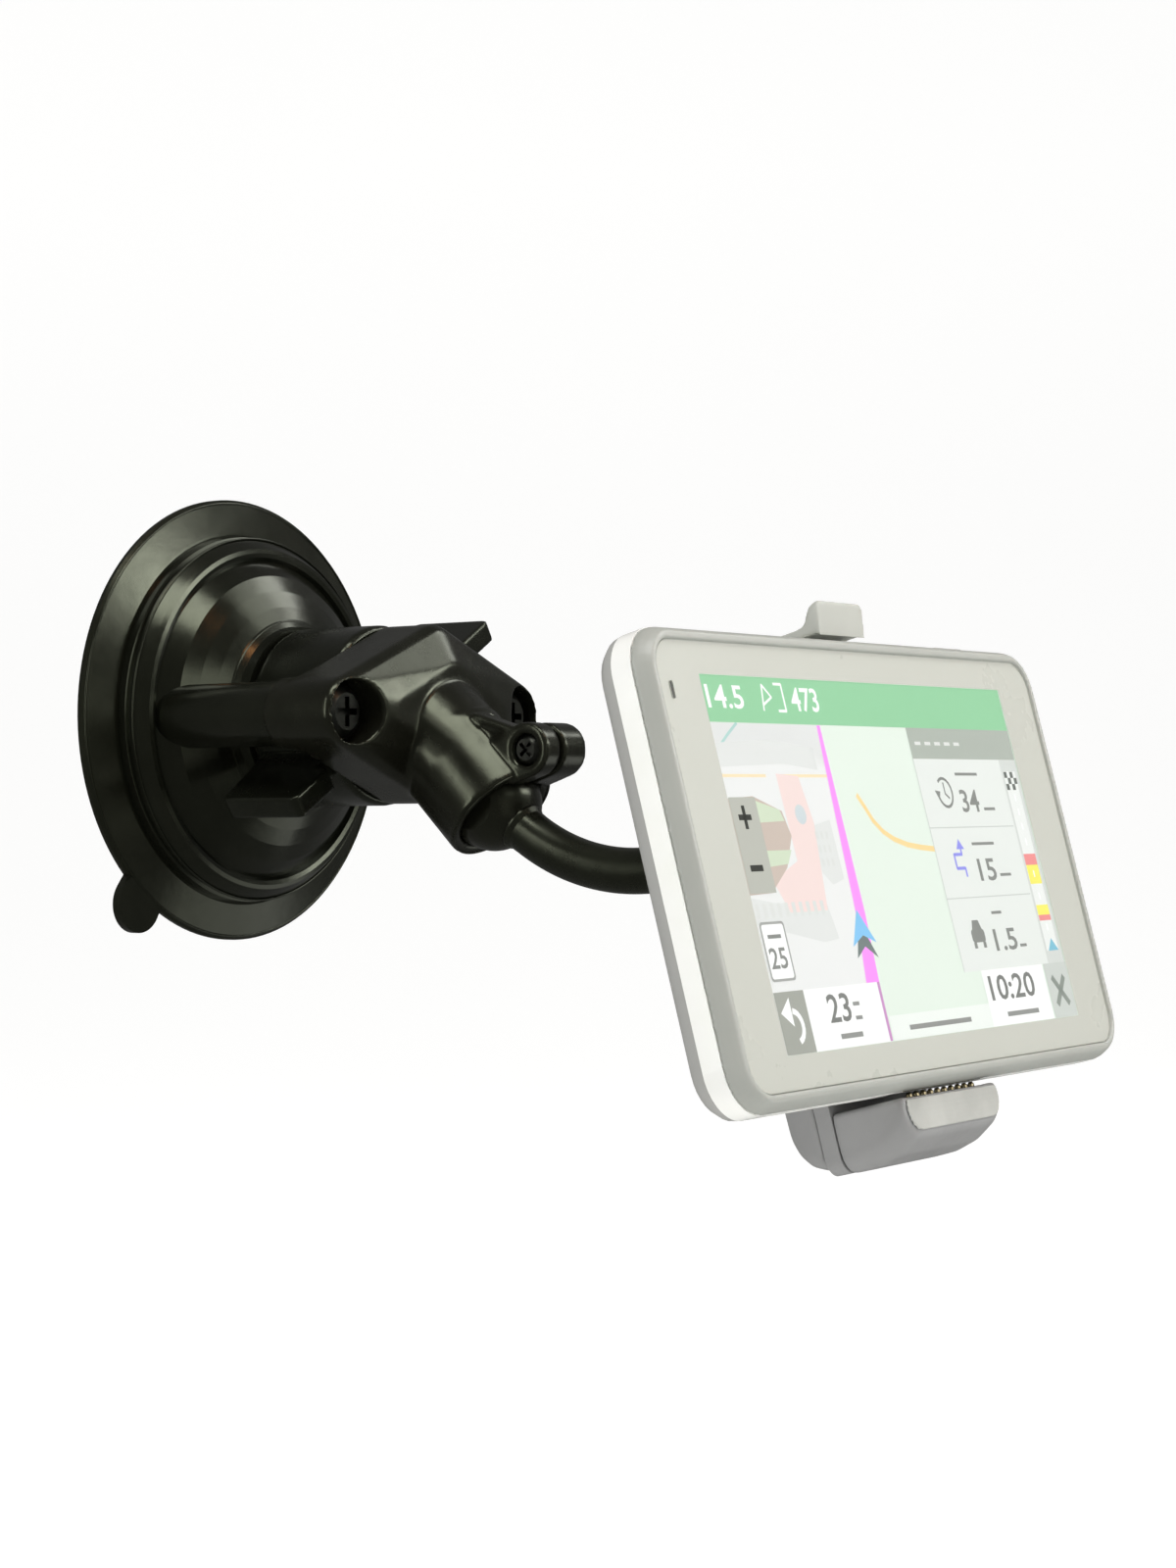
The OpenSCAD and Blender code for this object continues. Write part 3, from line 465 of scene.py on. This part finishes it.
WHITE = (252, 254, 252)
CARD = (250, 252, 250)
GREY = (140, 143, 138)
MARK_GREY = (150, 152, 148)
BIG_GREY = (128, 130, 126)


def draw_map():
    drawing("screen_land", (229, 241, 229), [rect(LEFT, BOTTOM, RIGHT, TOP)])
    drawing("screen_blocks", (236, 238, 236), [
        rect(LEFT, BOTTOM, -17, 22), rect(LEFT, 15.4, -17.5, 22)])
    drawing("screen_side_streets", (246, 228, 188), [
        rect(LEFT, 13.4, -36, 13.9), rect(-31.5, 13.4, -17.5, 13.9)])
    drawing("screen_water", (178, 214, 208), stroke([(-48.4, 17.5), (-44.5, 20), (-41, 22)], 0.5))
    drawing("screen_walls", (226, 229, 226), [
        [(LEFT, 15), (-30, 15.6), (-20, 14.6), (-20, 18.2), (-33, 19.5), (LEFT, 18.8)],
        [(-26, 5.5), (-20, 6.5), (-19.8, -3.2), (-23.5, -4), (-26, -2)],
        [(LEFT, -5.4), (-41, -6.5), (-27, -6), (-25.5, -12.6), (-30, -13), (LEFT, -9.5)]])
    drawing("screen_roofs", (242, 222, 217), [
        [(-33, 14), (-26.5, 13.6), (-25, 6), (-27, -8), (-38, -8), (-41, -3), (-32.6, 0)]])
    facade = [rect(-47.8 + 2.1 * i, -8.6, -46.8 + 2.1 * i, -6.4) for i in range(10)]
    for i in range(9):
        x, y = -25.4 + 1.5 * (i % 3), 3.4 - 2.2 * (i // 3)
        facade.append(rect(x, y, x + 0.8, y + 1.2))
    drawing("screen_windows", (222, 225, 221), facade)
    drawing("screen_yards", (204, 190, 178), [
        [(LEFT, 10), (-41.3, 10.4), (-33.8, 8), (-32.6, 4), (-36, -1), (-42, -4.8), (LEFT, -5)]])
    drawing("screen_gardens", (210, 224, 198), [
        [(-41.3, 9.8), (-34.4, 8.2), (-33.6, 6.4), (-41.3, 6.2)],
        [(-41.3, 1.8), (-33.6, 1.8), (-35.4, -0.4), (-41.3, -0.8)]])
    drawing("screen_court", (208, 218, 220), [arc(-28.4, 7.4, 1.6, 0, 360, 18)[:-1]])
    ring_road = [(-9.6, 10.4), (-8, 8.4), (-6.4, 6.2), (-4, 4.3), (-1, 3), (3, 2), (7, 1.5), (12, 1.1)]
    drawing("screen_ring_road", (250, 221, 158), stroke(ring_road, 0.95))
    drawing("screen_route", (252, 154, 250), [
        [(-17.2, 22), (-16.2, 22), (-15.9, -9), (-16.6, -20), (-20.6, -20), (-18.8, -9)]])
    drawing("screen_route_far", (203, 150, 200), [rect(-17.5, -29.5, -16.6, -20)])


def draw_vehicle():
    drawing("screen_arrow_shadow", (120, 132, 130), [
        [(-18.6, -10), (-14.9, -16.2), (-18.3, -14.2), (-21.4, -16), (-19.6, -12)]])
    drawing("screen_arrow", (136, 200, 242), [
        [(-18.4, -8.2), (-14.5, -13.7), (-18.2, -12.4), (-21.9, -14.1)]])


def draw_header():
    drawing("screen_header", (150, 209, 163), [rect(LEFT, 22.1, RIGHT, TOP)])
    digits("screen_distance", "14.5", -47.8, 24.3, -37.4, 28.1, WHITE)
    bracket = stroke([(-27.6, 24.2), (-25.4, 24.2), (-25.4, 28.6), (-27.6, 28.6)], 0.45)
    flag = stroke([(-32, 24.2), (-31.2, 28.4), (-29, 26.4), (-31.6, 25.2)], 0.4)
    drawing("screen_turn", WHITE, bracket + flag)
    digits("screen_house_number", "473", -23.2, 24.2, -14.9, 28.2, WHITE)


def draw_panel():
    drawing("screen_panel_head", (176, 184, 174), [rect(11.7, 16.7, RIGHT, 22.1)])
    drawing("screen_panel_dots", (226, 229, 225), [
        rect(13.6 + 3.4 * i, 19.1, 15.6 + 3.4 * i, 19.7) for i in range(5)])
    drawing("screen_panel", (231, 236, 231), [rect(11.7, -20, RIGHT, 16.7)])
    drawing("screen_panel_rules", (205, 211, 205), [
        rect(11.7, 4.6, 42, 4.8), rect(11.7, -7.6, 42, -7.4), rect(11.6, -20, 11.8, 16.7)])
    clock_ring = stroke(arc(20, 10.8, 2.5, -160, 130, 16), 0.5)
    clock_hands = stroke([(20, 12.5), (20, 10.6), (21.2, 9.8)], 0.4)
    clock_tip = [[(16.6, 11.2), (18.4, 11), (17.6, 9.4)]]
    drawing("screen_clock_icon", GREY, clock_ring + clock_hands + clock_tip)
    drawing("screen_detour_icon", (150, 152, 238), stroke(
        [(20.8, -3.8), (20.8, -2.4), (17.9, -2.4), (17.9, 0), (20.6, 0), (20.6, 1.2)], 0.55)
        + [[(19.2, 0.9), (21.9, 0.9), (20.5, 2.7)]])
    drawing("screen_car_icon", GREY, [
        soft_rect(17.2, -15.2, 21.8, -13), [(17.8, -13), (21.2, -13), (20.5, -11.4), (18.4, -11.4)],
        rect(17.4, -16.2, 18.4, -15.2), rect(20.6, -16.2, 21.6, -15.2)])
    drawing("screen_row_marks", GREY, [
        rect(25, 13.8, 33, 14.3), rect(25, 1.5, 33, 2), rect(26, -10.6, 29.6, -10.1),
        rect(32.6, 7.6, 36.6, 8.1), rect(32.6, -4.1, 36.6, -3.6), rect(33.6, -16.6, 36, -16.1)])
    digits("screen_delay", "34", 24.9, 7.3, 31.3, 11.3, GREY)
    digits("screen_saving", "15", 25.3, -4.8, 31.4, -0.9, GREY)
    digits("screen_queue", "1.5", 24.8, -17, 32.8, -13.2, GREY)


def draw_traffic():
    drawing("screen_traffic_side", (214, 219, 214), [rect(42.3, -20, RIGHT, 16.7)])
    drawing("screen_traffic_lane", (236, 240, 236), [rect(43, -17.8, 47.4, 14.6)])
    drawing("screen_traffic_red", (240, 150, 148), [
        rect(43, -2.4, 47.4, -0.4), rect(43, -12.4, 47.4, -11.4)])
    drawing("screen_traffic_yellow", (248, 240, 112), [
        rect(43, -5.8, 47.4, -2.4), rect(43, -11.4, 47.4, -9.6)])
    drawing("screen_traffic_dashes", WHITE, [
        rect(45, y, 45.4, y + 1.2) for y in (-14.2, -8.6, -4.6, 1.2, 4, 6.6, 9.2)])
    squares = []
    for i in range(4):
        for j in range(3):
            if (i + j) % 2 == 0:
                squares.append(rect(43 + 1.1 * i, 11.2 + 1.1 * j, 44.1 + 1.1 * i, 12.3 + 1.1 * j))
    drawing("screen_flag", (110, 116, 110), squares)
    drawing("screen_traffic_arrow", (132, 196, 216), [
        [(43.6, -17.8), (47.4, -17.8), (45.5, -15.6)]])


def draw_signs():
    drawing("screen_limit_edge", (168, 170, 166), [soft_rect(-48, -18.4, -41, -9.2, 0.7)])
    drawing("screen_limit", WHITE, [soft_rect(-47.6, -18, -41.4, -9.6, 0.5)])
    drawing("screen_limit_bar", GREY, [rect(-46.4, -11.8, -42.6, -11.2)])
    digits("screen_limit_value", "25", -47.1, -16.5, -42.3, -13.2, GREY)
    drawing("screen_back_key", (166, 169, 160), [rect(LEFT, BOTTOM, -40, -20)])
    back_bend = stroke(arc(-44.6, -25.4, 2.4, -70, 80, 10), 0.95)
    back_tip = [[(-47.6, -23.2), (-44.6, -20.9), (-44.6, -25.4)]]
    drawing("screen_back_arrow", WHITE, back_bend + back_tip)
    drawing("screen_speed_box", CARD, [rect(-40, BOTTOM, -17.6, -20)])
    digits("screen_speed", "23", -34, -25.6, -27.4, -21.1, BIG_GREY)
    drawing("screen_speed_mark", MARK_GREY, [
        rect(-32, -28.2, -25.4, -27.4), rect(-26.4, -23.3, -24.4, -22.7),
        rect(-26.4, -25.5, -24.4, -24.9)])
    drawing("screen_name_bar", (240, 246, 240), [rect(-16.4, BOTTOM, 18, -25.6)])
    drawing("screen_name_mark", MARK_GREY, [rect(-10.6, -28.2, 10, -27.4)])
    drawing("screen_time_box", CARD, [rect(17.2, BOTTOM, 39.6, -20)])
    digits("screen_time", "10:20", 18.9, -25.3, 35, -21, BIG_GREY)
    drawing("screen_time_mark", MARK_GREY, [rect(23, -28.2, 34.4, -27.4)])
    drawing("screen_close_key", (205, 211, 205), [rect(40, BOTTOM, RIGHT, -20)])
    cross = stroke([(42.2, -27.2), (46.4, -22.6)], 1.2) + stroke([(42.2, -22.6), (46.4, -27.2)], 1.2)
    drawing("screen_close_cross", (146, 154, 146), cross)
    drawing("screen_zoom_pad", (186, 188, 178), [rect(LEFT, -4.8, -41, 10.2)])
    drawing("screen_zoom", (52, 54, 48), [
        rect(-46.8, 6.6, -43.2, 7.5), rect(-45.5, 5.2, -44.6, 8.9), rect(-46.8, -1.4, -43.2, -0.4)])


draw_map()
draw_vehicle()
draw_header()
draw_panel()
draw_traffic()
draw_signs()


def ring_bead(name, matrix, radius, bead, material, z, steps=96, sides=8):
    """Moulded bead that runs round an axis of the base; sizes in mm."""
    bm = bmesh.new()
    rows = []
    for i in range(steps):
        a = 2 * math.pi * i / steps
        row = []
        for j in range(sides):
            b = 2 * math.pi * j / sides
            r = (radius + bead * math.cos(b)) * MM
            row.append(bm.verts.new((r * math.cos(a), r * math.sin(a), (z + bead * math.sin(b)) * MM)))
        rows.append(row)
    for i in range(steps):
        here, there = rows[i], rows[(i + 1) % steps]
        for j in range(sides):
            k = (j + 1) % sides
            bm.faces.new((here[j], there[j], there[k], here[k]))
    for face in bm.faces:
        face.smooth = True
    mesh_piece(name, bm, matrix, material, "base")


ring_bead("cup_rim_bead", CUP, 41.2, 0.28, "cup_rubber", z=1.6)
ring_bead("housing_step_bead", CUP, 34.25, 0.22, "base_plastic", z=6.6)
ring_bead("housing_dome_bead", CUP, 18.2, 0.25, "base_plastic", z=15.5)
ring_bead("socket_mouth_bead", SOCKET, 10.3, 0.22, "bracket_plastic", z=2.2)


# ---- floor, light, camera ---------------------------------------------------------

FLOOR_Z = -0.16
BACKDROP_TURN = math.radians(-54.8)  # so that the paper faces the camera


def stage_piece(name, bm, material):
    """A piece of the studio, which is no part of the object and shows in no reflection."""
    data = bpy.data.meshes.new(name)
    bm.to_mesh(data)
    bm.free()
    for face in data.polygons:
        face.use_smooth = True
    obj = bpy.data.objects.new(name, data)
    bpy.context.scene.collection.objects.link(obj)
    obj.data.materials.append(material)
    obj.visible_glossy = False
    obj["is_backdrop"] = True
    return obj


def backdrop():
    """Pale paper: a floor that curves up into a wall."""
    bm = bmesh.new()
    near, far, wide, bend, tall, steps = -3.0, 1.6, 4.0, 0.6, 3.0, 12
    profile = [(near, FLOOR_Z)]
    for i in range(steps + 1):
        a = math.radians(-90 + 90 * i / steps)
        profile.append((far - bend + bend * math.cos(a), FLOOR_Z + bend + bend * math.sin(a)))
    profile.append((far, tall))
    rows = [[bm.verts.new((side, along, height)) for side in (-wide, wide)] for along, height in profile]
    for a, b in zip(rows, rows[1:]):
        bm.faces.new((a[0], a[1], b[1], b[0]))
    bm.transform(Matrix.Rotation(BACKDROP_TURN, 4, "Z"))
    mat, tree, shader = new_material("pale_paper")
    paper = mixed(tree, noise(tree, 3), linear((132, 132, 131)), linear((138, 138, 137)))
    tree.links.new(paper, shader.inputs["Base Color"])
    shader.inputs["Emission Color"].default_value = (1, 1, 0.995, 1)
    shader.inputs["Emission Strength"].default_value = 0.84
    shader.inputs["Roughness"].default_value = 0.9
    shader.inputs["Specular IOR Level"].default_value = 0.1
    stage_piece("backdrop", bm, mat)


def far_wall():
    """Plain pale surround for the views from the sides and from behind; it lights nothing."""
    bm = bmesh.new()
    bmesh.ops.create_uvsphere(bm, u_segments=48, v_segments=24, radius=6.0)
    bmesh.ops.reverse_faces(bm, faces=bm.faces)
    mat, tree, shader = new_material("pale_wall")
    wall = mixed(tree, noise(tree, 2), linear((246, 246, 245)), linear((250, 250, 249)))
    tree.links.new(wall, shader.inputs["Emission Color"])
    shader.inputs["Base Color"].default_value = (0, 0, 0, 1)
    shader.inputs["Emission Strength"].default_value = 0.95
    shader.inputs["Specular IOR Level"].default_value = 0
    obj = stage_piece("far_wall", bm, mat)
    obj.visible_diffuse = False
    obj.visible_transmission = False
    obj.visible_shadow = False


def soft_light(name, place, aim, size, watts, colour=(1, 1, 1)):
    light = bpy.data.lights.new(name, "AREA")
    light.shape = "RECTANGLE"
    light.size, light.size_y = size
    light.energy = watts
    light.color = colour
    obj = bpy.data.objects.new(name, light)
    obj.location = place
    obj.rotation_euler = (Vector(aim) - Vector(place)).to_track_quat("-Z", "Y").to_euler()
    bpy.context.scene.collection.objects.link(obj)


backdrop()
far_wall()
MIDDLE = (0, -0.07, -0.01)
CUP_FACE = (-0.02, 0, 0.03)
soft_light("key_above", (-0.25, -0.3, 0.8), MIDDLE, (0.55, 0.35), 5)
soft_light("strip_left", (-0.85, 0.22, 0.2), MIDDLE, (0.12, 0.7), 2.2)
soft_light("fill_front", (-0.1, -0.9, 0.1), MIDDLE, (0.5, 0.5), 2.0)
soft_light("box_right", (0.48, -0.55, 0.62), CUP_FACE, (0.3, 0.3), 0.9)
soft_light("box_rim", (0.5, -0.79, 0.33), CUP_FACE, (0.36, 0.2), 2.4)
soft_light("box_side", (0.7, -0.36, 0.62), (-0.02, -0.02, 0), (0.24, 0.3), 1.3)
soft_light("box_low", (0.7, -0.6, -0.45), (0, 0, -0.03), (0.5, 0.4), 0.75)
soft_light("warm_glint", (0.02, -0.62, 0.66), (0, -0.02, 0.01), (0.1, 0.1), 0.4, (1, 0.42, 0.2))

world = bpy.data.worlds.new("soft_room")
bpy.context.scene.world = world
world.use_nodes = True
world.node_tree.nodes["Background"].inputs["Color"].default_value = (1, 1, 1, 1)
world.node_tree.nodes["Background"].inputs["Strength"].default_value = 0.13

camera_data = bpy.data.cameras.new("photo_camera")
camera_data.sensor_width = 36
camera_data.lens = 68.94
camera_data.clip_start = 0.02
camera_data.clip_end = 20
camera = bpy.data.objects.new("photo_camera", camera_data)
right = Vector((0.5770, -0.8167, -0.0090)).normalized()
ahead = Vector((0.8167, 0.5770, 0.0063)).normalized()
over = right.cross(ahead).normalized()
right = ahead.cross(over).normalized()
turn = Matrix((right, over, -ahead)).transposed().to_4x4()
camera.matrix_world = Matrix.Translation((-0.4295, -0.3864, -0.0164)) @ turn
bpy.context.scene.collection.objects.link(camera)
bpy.context.scene.camera = camera
bpy.context.scene.view_settings.view_transform = "Standard"

sizes["visual_box"] = plain(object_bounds())
